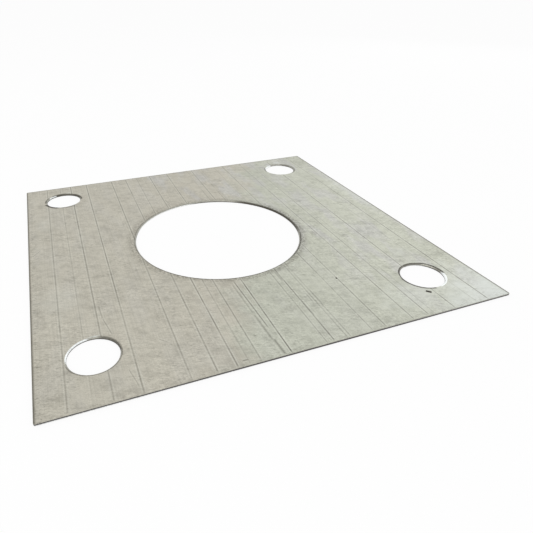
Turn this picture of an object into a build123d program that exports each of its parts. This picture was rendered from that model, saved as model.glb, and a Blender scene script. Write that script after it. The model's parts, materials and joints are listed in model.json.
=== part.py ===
from build123d import *
import os

# Positioning plate cut from sheet steel: one large round opening, and a bolt
# hole near each corner. All sizes are in millimetres. The plate lies flat, and
# its origin is the middle of the blank's underside. +X is the right-hand edge
# and +Y is the back edge.

# Sheet blank
plate_width = 400.0
plate_depth = 400.0
plate_thickness = 2.0
corner_radius = 1.5
edge_break = 0.2

# Centre opening, cut a little left of the blank's middle
opening_diameter = 178.0
opening_x = -4.0
opening_y = 0.0

# Bolt holes on a square, which sits a little left of the middle and behind it
bolt_hole_diameter = 40.0
bolt_pitch = 304.0
pattern_x = -4.0
pattern_y = 4.0

# Bevel round the upper rim of the opening and of each bolt hole
rim_bevel = 1.0

# Gouge beside the front right bolt hole: its gap from the hole's wall, where it
# lies round the hole, which way it points, and its own length and width
gouge_gap = 7.4
gouge_bearing = -119.0
gouge_heading = -47.0
gouge_length = 5.0
gouge_width = 1.6

# Pit in front of the opening, measured from the opening's centre
pit_across = 73.8
pit_forward = 123.4
pit_diameter = 1.4
pit_depth = 0.5

# Front right bolt hole, and the middle of the gouge beside it
front_right = Vector(pattern_x + bolt_pitch / 2, pattern_y - bolt_pitch / 2)
gouge_reach = bolt_hole_diameter / 2 + gouge_gap
gouge_centre = front_right + Vector(gouge_reach, 0).rotate(Axis.Z, gouge_bearing)

# The pit is a cap of a ball, whose centre stands above the upper face
pit_ball_radius = (pit_diameter**2 / 4 + pit_depth**2) / (2 * pit_depth)
pit_ball_height = plate_thickness + pit_ball_radius - pit_depth

with BuildPart() as positioning_plate:
    # Blank with its sharp corners taken off
    with BuildSketch(Plane.XY) as blank:
        Rectangle(plate_width, plate_depth)
        fillet(blank.vertices(), corner_radius)
    extrude(amount=plate_thickness)
    upper_face = Plane.XY.offset(plate_thickness)

    # Centre opening, straight through
    with Locations(upper_face):
        with Locations((opening_x, opening_y)):
            Hole(opening_diameter / 2)

    # Bolt holes, straight through
    with Locations(upper_face):
        with Locations((pattern_x, pattern_y)):
            with GridLocations(bolt_pitch, bolt_pitch, 2, 2):
                Hole(bolt_hole_diameter / 2)

    # The upper rim of each hole is opened out by a countersink. The outline and
    # the lower rims are only broken by hand.
    flat_faces = positioning_plate.faces().filter_by(Axis.Z)
    lower_face, top_face = flat_faces.sort_by(Axis.Z)
    upper_rims = top_face.inner_wires().edges()
    hand_broken = lower_face.edges() + top_face.outer_wire().edges()
    chamfer(upper_rims, rim_bevel)
    chamfer(hand_broken, edge_break)

    # Gouge: a spindle laid in the upper face, pointed at both ends
    gouge_plane = Plane(
        origin=(gouge_centre.X, gouge_centre.Y, plate_thickness),
        x_dir=Vector(1, 0).rotate(Axis.Z, gouge_heading),
    )
    with BuildSketch(gouge_plane):
        with BuildLine():
            ThreePointArc(
                (-gouge_length / 2, 0), (0, gouge_width / 2), (gouge_length / 2, 0)
            )
            Line((gouge_length / 2, 0), (-gouge_length / 2, 0))
        make_face()
    gouge_axis = Axis(gouge_plane.origin, gouge_plane.x_dir)
    revolve(axis=gouge_axis, mode=Mode.SUBTRACT)

    # Pit: a shallow round dent
    pit_x = opening_x + pit_across
    pit_y = opening_y - pit_forward
    with Locations((pit_x, pit_y, pit_ball_height)):
        Sphere(pit_ball_radius, mode=Mode.SUBTRACT)

positioning_plate.part.label = "positioning_plate"

os.makedirs("parts", exist_ok=True)
export_step(positioning_plate.part, "parts/positioning_plate.step")

steel_volume = positioning_plate.part.volume
print(f"positioning_plate: {steel_volume:.0f} mm3 of sheet steel")
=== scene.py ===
import json
import math

import bpy
from mathutils import Euler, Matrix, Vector


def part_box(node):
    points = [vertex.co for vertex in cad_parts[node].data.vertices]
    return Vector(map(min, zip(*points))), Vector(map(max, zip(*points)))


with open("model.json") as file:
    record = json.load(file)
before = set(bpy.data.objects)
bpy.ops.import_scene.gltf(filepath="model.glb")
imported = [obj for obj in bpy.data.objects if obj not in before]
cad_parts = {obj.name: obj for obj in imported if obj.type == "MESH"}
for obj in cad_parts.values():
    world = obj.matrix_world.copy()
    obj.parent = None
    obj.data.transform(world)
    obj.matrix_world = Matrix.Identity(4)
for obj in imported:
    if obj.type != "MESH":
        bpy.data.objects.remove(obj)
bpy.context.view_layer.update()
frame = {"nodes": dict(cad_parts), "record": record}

mmPerMetre = 1000.0
noiseMiddle = 0.5    # every noise swings about this

print("stage 1: the packed plate is in place")
bpy.ops.object.select_all(action="DESELECT")


# Camera

camera = {
    "spot": (-0.15249, -0.42746, 0.24237),  # metres, in the plate's own frame
    "turn": (57.985, 0.437, -20.541),       # degrees
    "lens": 31.373,
    "shift": 0.076,                         # the fitted view's axis is off the photo's middle
    "nearest": 0.01,
    "farthest": 50.0,
}


def makeCamera(c):
    data = bpy.data.cameras.new("plateCamera")
    data.lens = c["lens"]
    data.shift_x = c["shift"]
    data.clip_start = c["nearest"]
    data.clip_end = c["farthest"]
    rig = bpy.data.objects.new("plateCamera", data)
    rig.location = c["spot"]
    rig.rotation_euler = Euler([math.radians(a) for a in c["turn"]], "XYZ")
    bpy.context.scene.collection.objects.link(rig)
    bpy.context.scene.camera = rig


makeCamera(camera)
print("stage 2: camera set")


# Node helpers: a socket takes another socket or a plain value

def addNode(tree, kind, **settings):
    node = tree.nodes.new(kind)
    for name, value in settings.items():
        setattr(node, name, value)
    return node


def feed(tree, socket, source):
    if isinstance(source, bpy.types.NodeSocket):
        tree.links.new(source, socket)
    elif source is not None:
        socket.default_value = source


def calc(tree, operation, a, b=None, c=None):
    node = addNode(tree, "ShaderNodeMath", operation=operation)
    for socket, source in zip(node.inputs, (a, b, c)):
        feed(tree, socket, source)
    return node.outputs[0]


def times(tree, a, b):
    return calc(tree, "MULTIPLY", a, b)


def vectorCalc(tree, operation, a, b=None, scale=None):
    node = addNode(tree, "ShaderNodeVectorMath", operation=operation)
    feed(tree, node.inputs[0], a)
    feed(tree, node.inputs[1], b)
    if scale is not None:
        feed(tree, node.inputs["Scale"], scale)
    return node.outputs["Value" if operation in ("DOT_PRODUCT", "LENGTH") else "Vector"]


def split(tree, vector):
    node = addNode(tree, "ShaderNodeSeparateXYZ")
    feed(tree, node.inputs[0], vector)
    return node.outputs


def ramp(tree, value, low, high, toLow=0.0, toHigh=1.0):
    # a smooth step stays within its limits by itself, so it needs no clamp
    node = addNode(tree, "ShaderNodeMapRange", interpolation_type="SMOOTHSTEP", clamp=False)
    names = ("Value", "From Min", "From Max", "To Min", "To Max")
    for name, source in zip(names, (value, low, high, toLow, toHigh)):
        feed(tree, node.inputs[name], source)
    return node.outputs["Result"]


def mixColour(tree, factor, a, b, kind="MIX"):
    node = addNode(tree, "ShaderNodeMix", data_type="RGBA", blend_type=kind)
    feed(tree, node.inputs[0], factor)
    feed(tree, node.inputs[6], a)
    feed(tree, node.inputs[7], b)
    return node.outputs[2]


def grain(tree, spot, scale, detail, rough, stretch=(1.0, 1.0, 0.0), turn=0.0):
    # noise in mm, straight from the plate's own coordinates, so that it's worked out before the masks;
    # a stretch below 1 makes it longer that way, and turn (degrees) swings the whole round
    mapping = addNode(tree, "ShaderNodeMapping", vector_type="TEXTURE")
    feed(tree, mapping.inputs["Vector"], spot)
    feed(tree, mapping.inputs["Scale"], [1 / mmPerMetre / s if s else 0.0 for s in stretch])
    feed(tree, mapping.inputs["Rotation"], (0.0, 0.0, math.radians(turn)))
    node = addNode(tree, "ShaderNodeTexNoise")
    sources = (("Vector", mapping.outputs[0]), ("Scale", scale), ("Detail", detail), ("Roughness", rough))
    for name, source in sources:
        feed(tree, node.inputs[name], source)
    return node.outputs[0]


def makeGroup(name, inputs, outputs):
    tree = bpy.data.node_groups.new(name, "ShaderNodeTree")
    kinds = {"v": "NodeSocketVector", "f": "NodeSocketFloat"}
    for label, kind in inputs:
        tree.interface.new_socket(name=label, in_out="INPUT", socket_type=kinds[kind])
    for label in outputs:
        tree.interface.new_socket(name=label, in_out="OUTPUT", socket_type="NodeSocketFloat")
    return tree, tree.nodes.new("NodeGroupInput").outputs, tree.nodes.new("NodeGroupOutput").inputs


def useGroup(tree, group, **values):
    node = addNode(tree, "ShaderNodeGroup", node_tree=group)
    for name, source in values.items():
        feed(tree, node.inputs[name], source)
    return node.outputs


# Effects, each a group with its own inputs; places and sizes are in mm

effects = {
    "lip": (0.7, 1.5, 2.6),       # where a score's lip starts, peaks and ends, as shares of its half width
    "rimFull": 0.35,              # share of a rim's reach that is at full strength
    "rimSoft": (0.55, 0.25),      # softness of a rim's ends, in cosines: share of the spread's, and the most
    "patchFull": 0.15,            # share of a patch that is at full strength
}


def makeScoreGroup(e):
    # a straight score from one point to another, with a depth at each end; Lip is the pale burr along it
    tree, ins, outs = makeGroup(
        "score",
        [("Place", "v"), ("From", "v"), ("To", "v"), ("HalfWidth", "f"), ("Depth", "f"), ("FarDepth", "f"),
         ("Breaks", "f"), ("Taper", "f")],
        ["Mask", "Lip"])
    run = vectorCalc(tree, "SUBTRACT", ins["To"], ins["From"])
    reach = vectorCalc(tree, "SUBTRACT", ins["Place"], ins["From"])
    runDotRun = vectorCalc(tree, "DOT_PRODUCT", run, run)
    along = calc(tree, "DIVIDE", vectorCalc(tree, "DOT_PRODUCT", reach, run), runDotRun)
    nearest = vectorCalc(tree, "SCALE", run, scale=along)
    off = vectorCalc(tree, "LENGTH", vectorCalc(tree, "SUBTRACT", reach, nearest))
    core = ramp(tree, off, 0.0, ins["HalfWidth"], 1.0, 0.0)
    start = ramp(tree, along, 0.0, ins["Taper"])
    end = ramp(tree, calc(tree, "SUBTRACT", 1.0, along), 0.0, ins["Taper"])
    depth = ramp(tree, along, 0.0, 1.0, ins["Depth"], ins["FarDepth"])
    strength = times(tree, times(tree, start, end), times(tree, depth, ins["Breaks"]))
    feed(tree, outs["Mask"], times(tree, core, strength))
    lipStart, lipPeak, lipEnd = [times(tree, ins["HalfWidth"], share) for share in e["lip"]]
    inner = ramp(tree, off, lipStart, lipPeak)
    outer = ramp(tree, off, lipPeak, lipEnd, 1.0, 0.0)
    feed(tree, outs["Lip"], times(tree, times(tree, inner, outer), strength))
    return tree


def makeRimGroup(e):
    # full at a round hole's rim, falling to nothing at Reach outside it, and kept to Spread on
    # either side of Bearing (degrees, from the plate's right)
    tree, ins, outs = makeGroup(
        "rim",
        [("Place", "v"), ("Centre", "v"), ("Radius", "f"), ("Reach", "f"), ("Bearing", "f"), ("Spread", "f")],
        ["Mask"])
    softShare, softMost = e["rimSoft"]
    arm = vectorCalc(tree, "SUBTRACT", ins["Place"], ins["Centre"])
    outside = calc(tree, "SUBTRACT", vectorCalc(tree, "LENGTH", arm), ins["Radius"])
    near = ramp(tree, outside, times(tree, ins["Reach"], e["rimFull"]), ins["Reach"], 1.0, 0.0)
    turn = calc(tree, "RADIANS", ins["Bearing"])
    aim = addNode(tree, "ShaderNodeCombineXYZ")
    feed(tree, aim.inputs[0], calc(tree, "COSINE", turn))
    feed(tree, aim.inputs[1], calc(tree, "SINE", turn))
    facing = vectorCalc(tree, "DOT_PRODUCT", vectorCalc(tree, "NORMALIZE", arm), aim.outputs[0])
    edge = calc(tree, "COSINE", calc(tree, "RADIANS", ins["Spread"]))
    soft = calc(tree, "MINIMUM", times(tree, calc(tree, "SUBTRACT", 1.0, edge), softShare), softMost)
    side = ramp(tree, facing, edge, calc(tree, "ADD", edge, soft))
    feed(tree, outs["Mask"], times(tree, near, side))
    return tree


def makePatchGroup(e):
    # one soft oval patch, its edge pushed in and out by Wander
    tree, ins, outs = makeGroup(
        "patch", [("Place", "v"), ("Centre", "v"), ("Size", "v"), ("Wander", "f")], ["Mask"])
    arm = vectorCalc(tree, "DIVIDE", vectorCalc(tree, "SUBTRACT", ins["Place"], ins["Centre"]), ins["Size"])
    far = calc(tree, "ADD", vectorCalc(tree, "LENGTH", arm), ins["Wander"])
    feed(tree, outs["Mask"], ramp(tree, far, e["patchFull"], 1.0, 1.0, 0.0))
    return tree


scoreGroup = makeScoreGroup(effects)
rimGroup = makeRimGroup(effects)
patchGroup = makePatchGroup(effects)
print("stage 3: effect groups built")


# Plate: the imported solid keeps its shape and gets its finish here; sizes and places are in mm

plate = {
    "node": "positioning_plate",
    "slot": "sheet_steel",
    "bevel": 1.0,                                # width of each hole's bevel
    # each hole and the mount that gives its centre and radius
    "holes": {
        "opening": "centre_opening",
        "frontLeft": "bolt_hole_front_left",
        "frontRight": "bolt_hole_front_right",
        "backLeft": "bolt_hole_back_left",
        "backRight": "bolt_hole_back_right",
    },

    # colours
    "warm": (0.513, 0.492, 0.421, 1),            # left of the plate
    "cool": (0.501, 0.512, 0.438, 1),            # right of the plate
    "veil": (0.515, 0.512, 0.495, 1),            # greyer patches
    "pale": (0.70, 0.73, 0.70, 1),               # rubbed places and painted sheen
    "lip": (0.66, 0.67, 0.60, 1),
    "scored": (0.13, 0.125, 0.105, 1),
    # the dark of the dirt, and of the painted shade along the edges
    "soot": (0.17, 0.16, 0.13, 1),
    "burnt": (0.050, 0.043, 0.032, 1),           # dirt in the gouge and pit, and the darkest bevels, partly dirt and partly painted shade
    "rimDirt": (0.050, 0.043, 0.035, 1),         # old dirt and painted shade at the rims
    "cut": (0.056, 0.050, 0.038, 1),             # painted shade on the walls of the holes
    "torn": (0.052, 0.043, 0.044, 1),            # torn line along the outer edge
    "lit": (0.86, 0.87, 0.85, 1),                # walls that catch the light
    "sheared": (0.36, 0.36, 0.33, 1),            # smooth part of the outer edge
    "bevelTone": (0.36, 0.355, 0.31, 1),
    "bright": (0.90, 0.93, 0.92, 1),             # painted glint on bevels and on the crescent

    # how far up a surface faces, 1 being level: upper face, bevels, walls
    "topFrom": (0.80, 0.95),
    "bevelBelow": (0.78, 0.90),
    "wallBelow": (0.2, 0.5),

    # noises: scale, detail, roughness, then stretch and turn where they differ from even
    "slow": (0.03, 3.0, 0.6),                    # bends where tones meet, makes fine mottle come and go
    "wander": (0.11, 4.0, 0.65),                 # pushes the edges of the patches in and out
    "wanderSwing": 1.6,                          # the push, as a share of a patch's size
    "streaks": (0.8, 2.0, 0.6, (1.0, 1.0, 0.1)),
    # noises as masks: the noise, then its low and high, and the values there where they aren't 0 and 1
    "noiseMasks": {
        "veil": ((0.028, 3.0, 0.55, (1.5, 0.5, 0.0)), (0.46, 0.62)),
        "smudgeEdge": ((0.4, 3.0, 0.7), (0.36, 0.60, 0.35, 1.0)),
        "thrownTicks": ((0.45, 3.0, 0.7), (0.40, 0.60)),
        "edgeDashes": ((0.65, 3.0, 0.65, (0.35, 1.5, 0.0)), (0.52, 0.64)),
        "rimEdge": ((0.6, 2.0, 0.6), (0.30, 0.60, 0.75, 1.0)),
        "scoreBreaks": ((0.045, 3.0, 0.7, (2.0, 1.0, 0.0)), (0.32, 0.62, 0.55, 1.08)),
    },

    # the slanted line where warm meets cool: x where it crosses the middle, x gained per mm towards the back,
    # how far the slow noise bends it, and how soft it is
    "meeting": {"middle": 23.0, "slant": 0.41, "bend": 110.0, "soft": 28.0},
    # the veil grows towards the right and the back: share of y, distance, strength before and after
    "veilGrowth": {"shareOfDepth": 0.5, "over": 70.0, "strength": (0.12, 0.60)},
    "lighterRight": (-40.0, 200.0, 1.0, 1.05),   # painted light: the plate is lighter towards the right, from x to x, and the tone at each
    "comesAndGoes": (0.38, 0.60, 0.55, 1.35),    # low and high of the slow noise, and the strength at each
    # low and high of a mottle, and what its swing is multiplied by at each
    "dips": (0.28, 0.60, -1.6, 0.6),

    # soft swings of tone: scale, detail, roughness, stretch, turn, swing, whether it comes and goes
    "mottle": [
        (0.022, 3.0, 0.60, (1.0, 1.0, 0.0), 0, 0.028, False),
        (0.10, 4.0, 0.65, (0.7, 1.25, 0.0), -20, 0.060, False),
        (0.28, 3.0, 0.60, (0.5, 1.40, 0.0), -20, 0.042, True),
        (0.60, 2.0, 0.60, (0.6, 1.40, 0.0), -20, 0.060, True),
        (1.00, 2.0, 0.50, (0.9, 0.012, 0.0), 0, 0.030, False),
        (1.40, 1.0, 0.50, (0.8, 1.20, 0.0), -20, 0.056, False),
    ],
    # small touches of dirt: scale, detail, roughness, stretch, turn, low, high, strength,
    # whether it comes and goes
    "touches": [
        (0.07, 4.0, 0.6, (1.0, 1.0, 0.0), 0, 0.56, 0.74, 0.17, False),
        (0.33, 4.0, 0.6, (0.5, 1.4, 0.0), -20, 0.57, 0.72, 0.32, True),
        (0.75, 4.0, 0.6, (0.6, 1.4, 0.0), -20, 0.64, 0.74, 0.32, False),
    ],

    # long scores, front to back, all slanting alike: x half way back, depth at the front, depth at the back
    "scores": [
        (-176.5, 0.4, 0.5), (-160, 0.2, 0.3), (-146.5, 0.4, 0.8), (-126, 0.5, 0.7), (-92, 0.4, 0.6),
        (-72.5, 0.5, 0.5), (-57, 0.7, 0.3), (-47.5, 0.3, 0.1), (-38.5, 0.5, 0.6), (-13.5, 0.9, 0.6),
        (17, 0.4, 0.2), (23.5, 0.7, 0.5), (35, 0.3, 0.2), (38, 0.3, 0.1), (58.5, 0.4, 0.2), (71.5, 0.5, 0.6),
        (98.5, 0.6, 0.5), (114, 0.6, 0.4), (120, 0.2, 0.1), (141.5, 0.7, 0.7), (165, 0.2, 0.2),
        (177.5, 0.8, 0.5),
    ],
    "scoreDrift": 4.2,                           # how much further right at the back than at the front
    "scoreHalfWidth": 0.80,
    "scoreTaper": 0.01,                          # share of a score or mark over which each end fades in
    "markTaper": 0.1,
    "sunkTaper": 0.02,
    "lipStrength": 0.55,
    # short marks: start, end, half width, depth
    "marks": [
        (-144.5, -86, -143.5, -106, 0.8, 0.3), (-143.5, -106, -139, -130, 0.6, 0.4),
        (-134, -172, -130, -192, 0.6, 0.3), (-128, -159, -127, -161, 1.0, 0.5),
        (-106, -148, -100, -154, 0.8, 0.3), (-99, -157, -98, -158, 1.0, 0.3),
        (-69, -101, -69, -102, 1.0, 0.4), (-54, -194, -49, -194, 0.9, 0.6),
        (-198, -65, -192, -65, 0.7, 0.4), (-198, -77, -193, -79, 0.8, 0.4),
        (-196, 21, -188, 32, 0.7, 0.4), (-195, 39, -189, 32, 0.6, 0.3),
        (-22, -92, -20, -168, 0.8, 0.7), (-25, -96, -24, -145, 1.0, 0.3),
        (-24, -145, -23, -182, 1.3, 0.4), (-22, -180, -21, -199, 1.6, 0.5),
        (21, -92, 21, -110, 1.5, 0.35), (22.5, -140, 22.5, -166, 0.9, 0.45),
        (15.5, -148, 15, -198, 0.6, 0.3), (31, -136, 31, -148, 0.8, 0.3),
        (33.5, -130, 33.5, -150, 0.9, 0.4), (37, -130, 37, -154, 0.8, 0.4),
        (57.5, -68, 57.5, -102, 0.9, 0.5), (77, -83, 82, -85, 0.8, 0.3),
        (129, -116, 130, -115, 0.7, 0.3), (141, -11, 141, -15, 0.8, 0.4),
        (-91, 120, -91, 94, 0.8, 0.3), (-35.5, 111, -33, 96, 0.8, 0.4),
        (-35, 96, -34.5, 84, 0.8, 0.3), (18, 120, 18, 94, 0.9, 0.25),
        (25.5, 160, 25.5, 136, 0.8, 0.25), (101, 144, 101, 132, 0.9, 0.3),
    ],

    # the gouge and the pit, dark with old dirt, laid out as the solid has them
    "gouge": {
        "hole": "frontRight", "gap": 7.4, "bearing": -119, "heading": -47, "length": 5.0, "halfWidth": 2.2},
    "pit": {
        "hole": "opening", "across": 73.8, "forward": 123.4, "heading": 0, "length": 1.4, "halfWidth": 1.7},
    "sunkCore": (0.05, 0.6),                     # the dirt fills all but the outer edge of its mask
    "sunkAbove": (1.0, 1.2),                     # height at which it starts, so the underside has none

    # smudges: x, y, half width, half depth, strength
    "smudges": [
        (-159, -33, 6, 6, 0.25), (-181, -37, 4, 5, 0.18), (-96, -48, 4, 4, 0.28), (-110, -32, 9, 9, 0.12),
        (-189, -100, 4, 4, 0.22), (-137, -101, 5, 5, 0.20), (-195, -78, 5, 8, 0.32),
        (-184, -185, 12, 12, 0.24), (-64, -130, 4, 8, 0.12), (-53, -79, 7, 4, 0.32), (-83, -47, 4, 5, 0.30),
        (-71, -70, 4, 4, 0.30), (-10, -95, 9, 4, 0.36), (-24, -92, 6, 3, 0.30), (-82, -194, 9, 5, 0.18),
        (94, -37, 6, 6, 0.32), (86, -22, 4, 10, 0.35), (80, -41, 3, 4, 0.25), (76, -47, 4, 5, 0.36),
        (58, -70, 5, 6, 0.55), (52, -76, 5, 4, 0.50), (45, -78, 5, 3, 0.40), (24, -90, 10, 4, 0.35),
        (8, -150, 13, 6, 0.24), (20, -188, 8, 7, 0.28), (152, -58, 7, 5, 0.15), (193, -51, 5, 8, 0.18),
        (102, -93, 5, 5, 0.12), (-159, 88, 3, 4, 0.28), (-106, 86, 3, 6, 0.22), (-72, 65, 4, 4, 0.35),
        (-83, 49, 3, 4, 0.35), (-86, 42, 3, 3, 0.35), (-92, 35, 3, 5, 0.30), (-96, 18, 3, 6, 0.32),
        (-130, 143, 5, 4, 0.22), (-88, 165, 3, 5, 0.20), (-82, 144, 7, 7, 0.16), (-136, 116, 7, 6, 0.14),
        (-116, 58, 6, 7, 0.12), (-185, 140, 5, 14, 0.15), (-194, 104, 5, 8, 0.22), (52, 146, 4, 5, 0.15),
        (36, 84, 5, 4, 0.25), (80, 44, 4, 5, 0.30), (88, 20, 4, 6, 0.30), (89, 9, 3, 4, 0.25),
        (65, 66, 4, 4, 0.30), (42, 194, 14, 5, 0.15), (18, 98, 5, 7, 0.20), (9, 96, 5, 5, 0.20),
        (178, 176, 36, 30, 0.14),
    ],
    # pale places, partly rubbed wear and partly painted sheen and highlights: x, y, half width, half depth,
    # strength
    "rubbed": [
        (200, 50, 20, 100, 0.26), (184, 65, 8, 20, 0.14), (136, 52, 9, 8, 0.12), (180, -137, 9, 10, 0.20),
        (156, -104, 14, 12, 0.12), (120, -172, 46, 34, 0.24), (148, -178, 14, 8, 0.14),
        (104, -30, 8, 8, 0.16), (48, -90, 8, 8, 0.10), (-176, -66, 22, 36, 0.12), (-184, 92, 12, 26, 0.12),
        (-153, -127, 6, 2, 0.80), (-149, 179, 7, 3, 0.40), (-169, 172, 3, 4, 0.40),
        (-135, 171, 3, 6, 0.30), (138, 177, 6, 4, 0.50), (156, 183, 8, 5, 0.50),
    ],
    "corner": (212, -212, 118, 106, 0.80),       # painted sheen: the pale front right corner, laid out like the list above
    "cornerBend": 0.8,                           # how far the slow noise bends its edge

    # dirt along an edge, where the sheet was handled: edge, reach, strength
    "edgeDirt": [("left", 15.0, 0.62), ("front", 9.0, 0.34)],
    # painted shade: thin dark lines at the edges: edge, reach, strength
    "edgeLines": [("left", 2.4, 0.95), ("right", 2.6, 0.90), ("back", 3.4, 0.42)],
    "edgeLineFrom": 0.2,                         # a line is at full strength up to here

    # dark lines on the face at the rims, partly old dirt and partly painted shade: hole, bearing, spread,
    # reach, strength
    "rimLines": [
        ("opening", -90, 180, 1.3, 0.50), ("opening", 18, 44, 2.2, 0.62), ("opening", -36, 20, 1.8, 0.85),
        ("opening", 150, 34, 1.8, 0.40), ("opening", -120, 50, 1.6, 0.62),
        ("frontLeft", -80, 95, 1.2, 0.55), ("frontLeft", 36, 42, 1.4, 0.45),
        ("frontRight", 138, 52, 1.2, 1.0), ("frontRight", 76, 30, 1.3, 1.0),
        ("frontRight", 24, 42, 2.6, 1.0), ("frontRight", -108, 13, 2.0, 0.90),
        ("frontRight", -150, 44, 2.4, 0.90),
        ("backLeft", 162, 26, 2.2, 0.85), ("backLeft", 102, 28, 2.8, 0.90), ("backLeft", 62, 26, 1.6, 0.85),
        ("backLeft", 22, 34, 2.4, 0.90), ("backLeft", -78, 28, 4.2, 0.42), ("backLeft", -138, 32, 4.0, 1.0),
        ("backRight", 165, 24, 2.0, 0.50), ("backRight", 42, 26, 2.6, 0.50),
        ("backRight", -18, 50, 2.0, 0.62), ("backRight", 92, 24, 2.8, 0.32),
    ],
    # the tone of the bevels, bright arcs being painted glints and dark arcs partly dirt and partly painted
    # shade: hole, bearing, spread, strength
    "brightArcs": [
        ("frontLeft", 140, 50, 1.0), ("frontRight", -46, 46, 1.0), ("backLeft", 128, 18, 0.8),
        ("backLeft", -103, 14, 0.8), ("backRight", 130, 28, 1.0),
    ],
    "darkArcs": [
        ("opening", 20, 42, 0.90), ("frontLeft", 34, 44, 0.70), ("frontRight", 140, 50, 0.40),
        ("frontRight", 82, 34, 0.55), ("frontRight", 4, 18, 0.30), ("backLeft", 65, 66, 0.80),
        ("backLeft", -138, 32, 0.90), ("backRight", 42, 24, 0.45),
    ],
    # walls that catch the light: hole, bearing, spread, strength
    "litArcs": [
        ("opening", 122, 36, 1.0), ("frontRight", 140, 46, 0.85), ("frontRight", 74, 30, 0.40),
        ("backLeft", -100, 18, 0.9), ("backRight", 128, 30, 0.9), ("backRight", 80, 30, 0.45),
    ],
    "arcBand": (3.0, 1.0),                       # how far outside a hole an arc holds, and its fade
    # dirt thrown out round the opening: bearing, spread, reach, strength
    "thrown": [(-28, 72, 9.5, 0.58), (165, 60, 12.0, 0.42), (-115, 50, 7.0, 0.50), (75, 40, 7.0, 0.40)],
    # a painted glint: the pale crescent on the face beside the front right hole
    "crescent": {"hole": "frontRight", "reach": 1.2, "bearing": -46, "spread": 40, "core": (0.12, 0.55)},

    # the sheared outer edge
    "tornHeight": (1.55, 0.60),                  # of the torn line, at the left and at the right
    "tornBand": (0.45, 1.0),                     # above and below it, full up to here and gone by here
    "shearedFrom": (-0.1, 0.1),                  # above it, where the smooth part starts
    "outerEdge": (0.4, 1.2),                     # how far in a wall still counts as the outer edge
    "bevelStreaks": (0.3, 0.7, 0.8, 1.1),        # low and high of the streaks, and the tone at each
    "wallStreaks": (0.3, 0.7, 0.75, 1.2),        # the same for the walls

    "metallic": (0.9, 0.3),                      # clean steel, worn steel
    "roughness": (0.8, 1.2, 0.60, 0.48),         # dark and light tone, and the roughness at each
    "dirtRoughness": 0.2,                        # what dirt and scores add
    "bevelSmoothness": 0.15,                     # what a bevel takes off
    "bumpStrength": 0.5,
    "bumpDistance": 0.00008,                     # metres
}


mounts = {mount["name"]: mount for mount in frame["record"]["mounts"]}
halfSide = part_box(plate["node"])[1][0] * mmPerMetre


def holeSize(hole):
    # centre and radius in mm, as the hole's mount states them
    mount = mounts[plate["holes"][hole]]
    return mount["pos_m"][0] * mmPerMetre, mount["pos_m"][1] * mmPerMetre, mount["dims"]["r_mm"]


def dashThrough(x, y, heading, length):
    # the two ends of a short straight dash through a point
    dx = math.cos(math.radians(heading)) * length / 2
    dy = math.sin(math.radians(heading)) * length / 2
    return (x - dx, y - dy, 0), (x + dx, y + dy, 0)


def sunkDashes(gouge, pit):
    # where the gouge and the pit lie: start, end, half width
    x, y, radius = holeSize(gouge["hole"])
    reach = radius + gouge["gap"]
    x += math.cos(math.radians(gouge["bearing"])) * reach
    y += math.sin(math.radians(gouge["bearing"])) * reach
    pitX, pitY, _ = holeSize(pit["hole"])
    pitX += pit["across"]
    pitY -= pit["forward"]
    return [(*dashThrough(x, y, gouge["heading"], gouge["length"]), gouge["halfWidth"]),
            (*dashThrough(pitX, pitY, pit["heading"], pit["length"]), pit["halfWidth"])]


def readSurface(tree, p):
    # what every layer reads: place in mm, and how far the surface faces up
    coords = addNode(tree, "ShaderNodeTexCoord")
    place = vectorCalc(tree, "SCALE", coords.outputs["Object"], scale=mmPerMetre)
    flat = vectorCalc(tree, "MULTIPLY", place, (1, 1, 0))
    across, along, height = split(tree, place)
    facingUp = split(tree, coords.outputs["Normal"])[2]
    level = calc(tree, "ABSOLUTE", facingUp)
    isTop = ramp(tree, facingUp, *p["topFrom"])
    return {"tree": tree, "spot": coords.outputs["Object"], "flat": flat, "across": across, "along": along,
            "height": height, "level": level, "isTop": isTop}


def noiseMask(face, name):
    noise, limits = plate["noiseMasks"][name]
    return ramp(face["tree"], grain(face["tree"], face["spot"], *noise), *limits)


def rimMask(face, hole, reach, bearing, spread, extra):
    x, y, radius = holeSize(hole)
    return useGroup(face["tree"], rimGroup, Place=face["flat"], Centre=(x, y, 0), Radius=radius + extra,
                    Reach=reach, Bearing=float(bearing), Spread=float(spread))["Mask"]


def ovalPatch(face, x, y, halfWidth, halfDepth, wander):
    return useGroup(face["tree"], patchGroup, Place=face["flat"], Centre=(x, y, 0),
                    Size=(halfWidth, halfDepth, 1), Wander=wander)["Mask"]


def stronger(tree, top, mask):
    return calc(tree, "MAXIMUM", top, mask) if top else mask


def strongest(tree, masks):
    # each mask is made and joined before the next one, because only so many values fit in one shader
    top = None
    for mask in masks:
        top = stronger(tree, top, mask)
    return top


def arcs(face, rows):
    # parts of the bevels and walls, each from one bearing round to another
    band, fade = plate["arcBand"]
    return strongest(face["tree"], (
        times(face["tree"], rimMask(face, hole, fade, bearing, spread, band), strength)
        for hole, bearing, spread, strength in rows))


def layTones(face, p, drift):
    # warm on the left, greener on the right, with greyer patches that follow the rolling direction
    tree = face["tree"]
    meeting = p["meeting"]
    line = calc(tree, "MULTIPLY_ADD", face["along"], meeting["slant"], meeting["middle"])
    beyond = calc(tree, "SUBTRACT", face["across"], line)
    lean = calc(tree, "MULTIPLY_ADD", drift, meeting["bend"], beyond)
    side = ramp(tree, lean, -meeting["soft"], meeting["soft"])
    colour = mixColour(tree, side, p["warm"], p["cool"])
    growth = p["veilGrowth"]
    veil = noiseMask(face, "veil")
    behind = calc(tree, "MULTIPLY_ADD", face["along"], growth["shareOfDepth"], face["across"])
    veil = times(tree, veil, ramp(tree, behind, 0.0, growth["over"], *growth["strength"]))
    return mixColour(tree, veil, colour, p["veil"])


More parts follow.
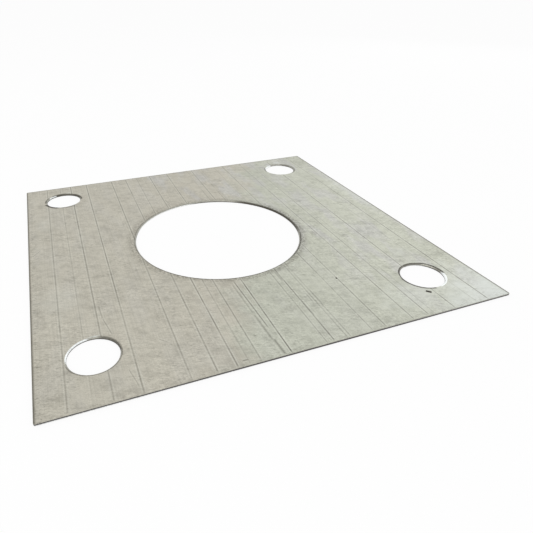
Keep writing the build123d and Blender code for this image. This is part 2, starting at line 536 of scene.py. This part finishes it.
def layMottle(face, p, slow, colour):
    # soft swings of tone over painted light that makes the right lighter: level ground with darker dips; the
    # last and finest is the tooth of the mill finish
    tree = face["tree"]
    low, high, down, up = p["dips"]
    shade = ramp(tree, face["across"], *p["lighterRight"])
    patchy = ramp(tree, slow, *p["comesAndGoes"])
    for scale, detail, rough, stretch, turn, swing, comesAndGoes in p["mottle"]:
        tooth = grain(tree, face["spot"], scale, detail, rough, stretch, turn)
        change = ramp(tree, tooth, low, high, down * swing, up * swing)
        if comesAndGoes:
            change = times(tree, change, patchy)
        shade = calc(tree, "MULTIPLY_ADD", shade, change, shade)
    return mixColour(tree, 1.0, colour, shade, "MULTIPLY"), shade, patchy, tooth


def layRubbedAndSheen(face, p, drift, wander, colour):
    # pale places, partly rubbed wear and partly painted sheen, and the large painted sheen at the front right
    # corner
    tree = face["tree"]
    rubbed = strongest(tree, (
        times(tree, ovalPatch(face, x, y, w, d, wander), strength) for x, y, w, d, strength in p["rubbed"]))
    # painted sheen over the front right corner
    x, y, w, d, strength = p["corner"]
    corner = ovalPatch(face, x, y, w, d, times(tree, drift, p["cornerBend"]))
    rubbed = stronger(tree, rubbed, times(tree, corner, strength))
    return mixColour(tree, times(tree, rubbed, face["isTop"]), colour, p["pale"])


def gatherDirt(face, p, patchy, wander):
    # small touches all over, the larger smudges, and what was thrown out round the opening
    tree = face["tree"]
    dirtAndShade = None
    for scale, detail, rough, stretch, turn, low, high, strength, comesAndGoes in p["touches"]:
        touch = ramp(tree, grain(tree, face["spot"], scale, detail, rough, stretch, turn), low, high)
        if comesAndGoes:
            touch = times(tree, touch, patchy)
        dirtAndShade = stronger(tree, dirtAndShade, times(tree, touch, strength))
    edge = noiseMask(face, "smudgeEdge")
    for x, y, w, d, strength in p["smudges"]:
        smudge = times(tree, ovalPatch(face, x, y, w, d, wander), edge)
        dirtAndShade = stronger(tree, dirtAndShade, times(tree, smudge, strength))
    ticks = noiseMask(face, "thrownTicks")
    for bearing, spread, reach, strength in p["thrown"]:
        thrown = times(tree, rimMask(face, "opening", reach, bearing, spread, p["bevel"]), ticks)
        dirtAndShade = stronger(tree, dirtAndShade, times(tree, thrown, strength))
    return dirtAndShade


def measureGaps(face):
    # how far in from each edge of the plate
    tree = face["tree"]
    return {"left": calc(tree, "ADD", face["across"], halfSide),
            "front": calc(tree, "ADD", face["along"], halfSide),
            "right": calc(tree, "SUBTRACT", halfSide, face["across"]),
            "back": calc(tree, "SUBTRACT", halfSide, face["along"])}


def gatherEdgeDirtAndShade(face, p, gaps, dirtAndShade):
    # dirt where the sheet was handled, and thin dark lines of painted shade along the edges
    tree = face["tree"]
    dashes = noiseMask(face, "edgeDashes")
    for edge, reach, strength in p["edgeDirt"]:
        near = times(tree, ramp(tree, gaps[edge], 0.0, reach, 1.0, 0.0), dashes)
        dirtAndShade = stronger(tree, dirtAndShade, times(tree, near, strength))
    for edge, reach, strength in p["edgeLines"]:
        line = ramp(tree, gaps[edge], p["edgeLineFrom"], reach, 1.0, 0.0)
        dirtAndShade = stronger(tree, dirtAndShade, times(tree, line, strength))
    return dirtAndShade


def gatherRimDirtAndShade(face, p):
    # old dirt and painted shade on the face, close round the holes
    tree = face["tree"]
    rimDirtAndShadeMask = strongest(tree, (
        times(tree, rimMask(face, hole, reach, bearing, spread, p["bevel"]), strength)
        for hole, bearing, spread, reach, strength in p["rimLines"]))
    edge = noiseMask(face, "rimEdge")
    return times(tree, times(tree, rimDirtAndShadeMask, edge), face["isTop"])


def layScores(face, p, colour):
    # scores and short marks, each with a pale lip
    tree = face["tree"]
    breaks = noiseMask(face, "scoreBreaks")
    halfDrift = p["scoreDrift"] / 2
    rows = [(x - halfDrift, -halfSide, x + halfDrift, halfSide, p["scoreHalfWidth"], depth, farDepth,
             breaks, p["scoreTaper"]) for x, depth, farDepth in p["scores"]]
    rows += [(x0, y0, x1, y1, halfWidth, depth, depth, 1.0, p["markTaper"])
             for x0, y0, x1, y1, halfWidth, depth in p["marks"]]
    marks = None
    lip = None
    for x0, y0, x1, y1, halfWidth, depth, farDepth, broken, taper in rows:
        score = useGroup(tree, scoreGroup, Place=face["flat"], From=(x0, y0, 0), To=(x1, y1, 0),
                         HalfWidth=halfWidth, Depth=depth, FarDepth=farDepth, Breaks=broken, Taper=taper)
        marks = stronger(tree, marks, score["Mask"])
        lip = stronger(tree, lip, score["Lip"])
    marks = times(tree, marks, face["isTop"])
    lip = times(tree, times(tree, lip, face["isTop"]), p["lipStrength"])
    colour = mixColour(tree, lip, colour, p["lip"])
    return mixColour(tree, marks, colour, p["scored"]), marks


def layCrescent(face, p, colour):
    # the painted glint of the pale crescent on the face
    tree = face["tree"]
    c = p["crescent"]
    crescentGlint = rimMask(face, c["hole"], c["reach"], c["bearing"], c["spread"], p["bevel"])
    crescentGlint = times(tree, ramp(tree, crescentGlint, *c["core"]), face["isTop"])
    return mixColour(tree, crescentGlint, colour, p["bright"])


def findSunk(face, p):
    # the gouge and the pit
    tree = face["tree"]
    sunk = strongest(tree, (
        useGroup(tree, scoreGroup, Place=face["flat"], From=start, To=end, HalfWidth=halfWidth, Depth=1.0,
                 FarDepth=1.0, Breaks=1.0, Taper=p["sunkTaper"])["Mask"]
        for start, end, halfWidth in sunkDashes(p["gouge"], p["pit"])))
    return times(tree, ramp(tree, sunk, *p["sunkCore"]), ramp(tree, face["height"], *p["sunkAbove"]))


def layEdges(face, p, gaps, bevel, wall, colour):
    # bevels are mostly dull, with painted glints and dark arcs of dirt and painted shade; walls carry painted
    # shade
    tree = face["tree"]
    bevelGlint = arcs(face, p["brightArcs"])
    bevelDirtAndShade = arcs(face, p["darkArcs"])
    lit = arcs(face, p["litArcs"])
    bevelColour = mixColour(tree, bevelDirtAndShade, p["bevelTone"], p["burnt"])
    bevelColour = mixColour(tree, bevelGlint, bevelColour, p["bright"])
    streaks = grain(tree, face["spot"], *p["streaks"])
    bevelColour = mixColour(tree, 1.0, bevelColour, ramp(tree, streaks, *p["bevelStreaks"]), "MULTIPLY")
    colour = mixColour(tree, bevel, colour, bevelColour)
    # the walls of the holes carry painted shade, and painted highlights where they catch the light
    wallColour = mixColour(tree, lit, p["cut"], p["lit"])
    gap = calc(tree, "MINIMUM", calc(tree, "MINIMUM", gaps["front"], gaps["back"]),
               calc(tree, "MINIMUM", gaps["left"], gaps["right"]))
    sheared = shearedEdge(face, p)
    wallColour = mixColour(tree, ramp(tree, gap, *p["outerEdge"], 1.0, 0.0), wallColour, sheared)
    wallColour = mixColour(tree, 1.0, wallColour, ramp(tree, streaks, *p["wallStreaks"]), "MULTIPLY")
    return mixColour(tree, wall, colour, wallColour)


def shearedEdge(face, p):
    # smooth above, torn along a dark line, and lit by the floor at its foot
    tree = face["tree"]
    tornAt = ramp(tree, face["across"], -halfSide, halfSide, *p["tornHeight"])
    away = calc(tree, "ABSOLUTE", calc(tree, "SUBTRACT", face["height"], tornAt))
    torn = ramp(tree, away, *p["tornBand"], 1.0, 0.0)
    smooth = ramp(tree, calc(tree, "SUBTRACT", face["height"], tornAt), *p["shearedFrom"])
    return mixColour(tree, torn, mixColour(tree, smooth, p["lit"], p["sheared"]), p["torn"])


def feedGloss(face, p, shader, shade, bevel, worn, dirtAndShadeMasks):
    tree = face["tree"]
    metal, wornMetal = p["metallic"]
    feed(tree, shader.inputs["Metallic"], ramp(tree, strongest(tree, worn), 0.0, 1.0, metal, wornMetal))
    roughness = ramp(tree, shade, *p["roughness"])
    roughness = calc(tree, "ADD", roughness, times(tree, strongest(tree, dirtAndShadeMasks), p["dirtRoughness"]))
    roughness = calc(tree, "SUBTRACT", roughness, times(tree, bevel, p["bevelSmoothness"]))
    feed(tree, shader.inputs["Roughness"], roughness)


def feedBump(tree, p, shader, tooth):
    bump = addNode(tree, "ShaderNodeBump")
    bump.inputs["Strength"].default_value = p["bumpStrength"]
    bump.inputs["Distance"].default_value = p["bumpDistance"]
    feed(tree, bump.inputs["Height"], tooth)
    feed(tree, shader.inputs["Normal"], bump.outputs[0])


def makePlateFinish(p):
    mat = bpy.data.materials.new("sheetSteel")
    mat.use_nodes = True
    tree = mat.node_tree
    shader = tree.nodes["Principled BSDF"]
    face = readSurface(tree, p)

    slow = grain(tree, face["spot"], *p["slow"])
    drift = calc(tree, "SUBTRACT", slow, noiseMiddle)
    colour = layTones(face, p, drift)
    colour, shade, patchy, tooth = layMottle(face, p, slow, colour)
    wander = calc(tree, "SUBTRACT", grain(tree, face["spot"], *p["wander"]), noiseMiddle)
    wander = times(tree, wander, p["wanderSwing"])
    colour = layRubbedAndSheen(face, p, drift, wander, colour)

    dirtAndShade = gatherDirt(face, p, patchy, wander)
    gaps = measureGaps(face)
    dirtAndShade = gatherEdgeDirtAndShade(face, p, gaps, dirtAndShade)
    # the dirt and the painted shade along the edges darken the upper face
    soiledAndShaded = times(tree, dirtAndShade, face["isTop"])
    colour = mixColour(tree, soiledAndShaded, colour, p["soot"])
    # old dirt and painted shade close round the holes
    rimDirtAndShadeMask = gatherRimDirtAndShade(face, p)
    colour = mixColour(tree, rimDirtAndShadeMask, colour, p["rimDirt"])

    colour, marks = layScores(face, p, colour)
    colour = layCrescent(face, p, colour)
    sunk = findSunk(face, p)
    colour = mixColour(tree, sunk, colour, p["burnt"])

    bevel = ramp(tree, face["level"], *p["bevelBelow"], 1.0, 0.0)
    bevel = times(tree, bevel, calc(tree, "SUBTRACT", 1.0, sunk))
    wall = ramp(tree, face["level"], *p["wallBelow"], 1.0, 0.0)
    colour = layEdges(face, p, gaps, bevel, wall, colour)

    feed(tree, shader.inputs["Base Color"], colour)
    feedGloss(face, p, shader, shade, bevel, [marks, wall, sunk], [marks, soiledAndShaded, rimDirtAndShadeMask, sunk])
    feedBump(tree, p, shader, tooth)
    return mat


plateObject = frame["nodes"][plate["node"]]
plateObject.data.materials.clear()
plateObject.data.materials.append(makePlateFinish(plate))
print("stage 4: plate finished")


# Floor and light

studio = {
    "floorSize": 30.0,
    "floorDrop": 0.00005,    # metres under the plate, so the two faces don't meet
    "floorGrey": 0.85,
    "floorRoughness": 0.9,
    "seenWhite": 0.85,       # share of plain white that the camera sees on the floor
    "roomLevel": 0.98,
    "window": {"spot": (1.3, 1.0, 0.75), "size": 1.1, "power": 1.3},
    "fill": {"spot": (-0.9, -0.6, 1.6), "size": 1.6, "power": 6.0},
}


def makeFloor(s):
    bpy.ops.object.select_all(action="DESELECT")
    bpy.ops.mesh.primitive_plane_add(size=s["floorSize"], location=(0, 0, -s["floorDrop"]))
    floor = bpy.context.active_object
    floor.name = "floor"
    bpy.ops.object.transform_apply(location=True, rotation=True, scale=True)
    mat = bpy.data.materials.new("paleFloor")
    mat.use_nodes = True
    tree = mat.node_tree
    shader = tree.nodes["Principled BSDF"]
    shader.inputs["Base Color"].default_value = (s["floorGrey"],) * 3 + (1,)
    shader.inputs["Roughness"].default_value = s["floorRoughness"]
    shader.inputs["Specular IOR Level"].default_value = 0.0
    # seen directly or in a reflection, the floor is mostly plain white
    light = addNode(tree, "ShaderNodeLightPath")
    seen = calc(tree, "MAXIMUM", light.outputs["Is Camera Ray"], light.outputs["Is Glossy Ray"])
    seen = calc(tree, "MAXIMUM", seen, light.outputs["Is Transmission Ray"])
    white = addNode(tree, "ShaderNodeEmission")
    white.inputs["Color"].default_value = (1, 1, 1, 1)
    mix = addNode(tree, "ShaderNodeMixShader")
    feed(tree, mix.inputs[0], times(tree, seen, s["seenWhite"]))
    feed(tree, mix.inputs[1], shader.outputs[0])
    feed(tree, mix.inputs[2], white.outputs[0])
    feed(tree, tree.nodes["Material Output"].inputs["Surface"], mix.outputs[0])
    floor.data.materials.append(mat)


def makeRoom(s):
    world = bpy.data.worlds.new("softRoom")
    world.use_nodes = True
    tree = world.node_tree
    background = tree.nodes["Background"]
    background.inputs["Color"].default_value = (1, 1, 1, 1)
    light = addNode(tree, "ShaderNodeLightPath")
    feed(tree, background.inputs["Strength"],
         ramp(tree, light.outputs["Is Camera Ray"], 0.0, 1.0, s["roomLevel"], 1.0))
    bpy.context.scene.world = world


def makeLamp(name, lamp):
    data = bpy.data.lights.new(name, "AREA")
    data.shape = "SQUARE"
    data.size = lamp["size"]
    data.energy = lamp["power"]
    rig = bpy.data.objects.new(name, data)
    rig.location = lamp["spot"]
    rig.rotation_euler = (-Vector(lamp["spot"])).to_track_quat("-Z", "Y").to_euler()
    bpy.context.scene.collection.objects.link(rig)


makeFloor(studio)
makeRoom(studio)
makeLamp("window", studio["window"])
makeLamp("fill", studio["fill"])
bpy.context.scene.view_settings.view_transform = "Standard"
print("stage 5: floor and light ready")
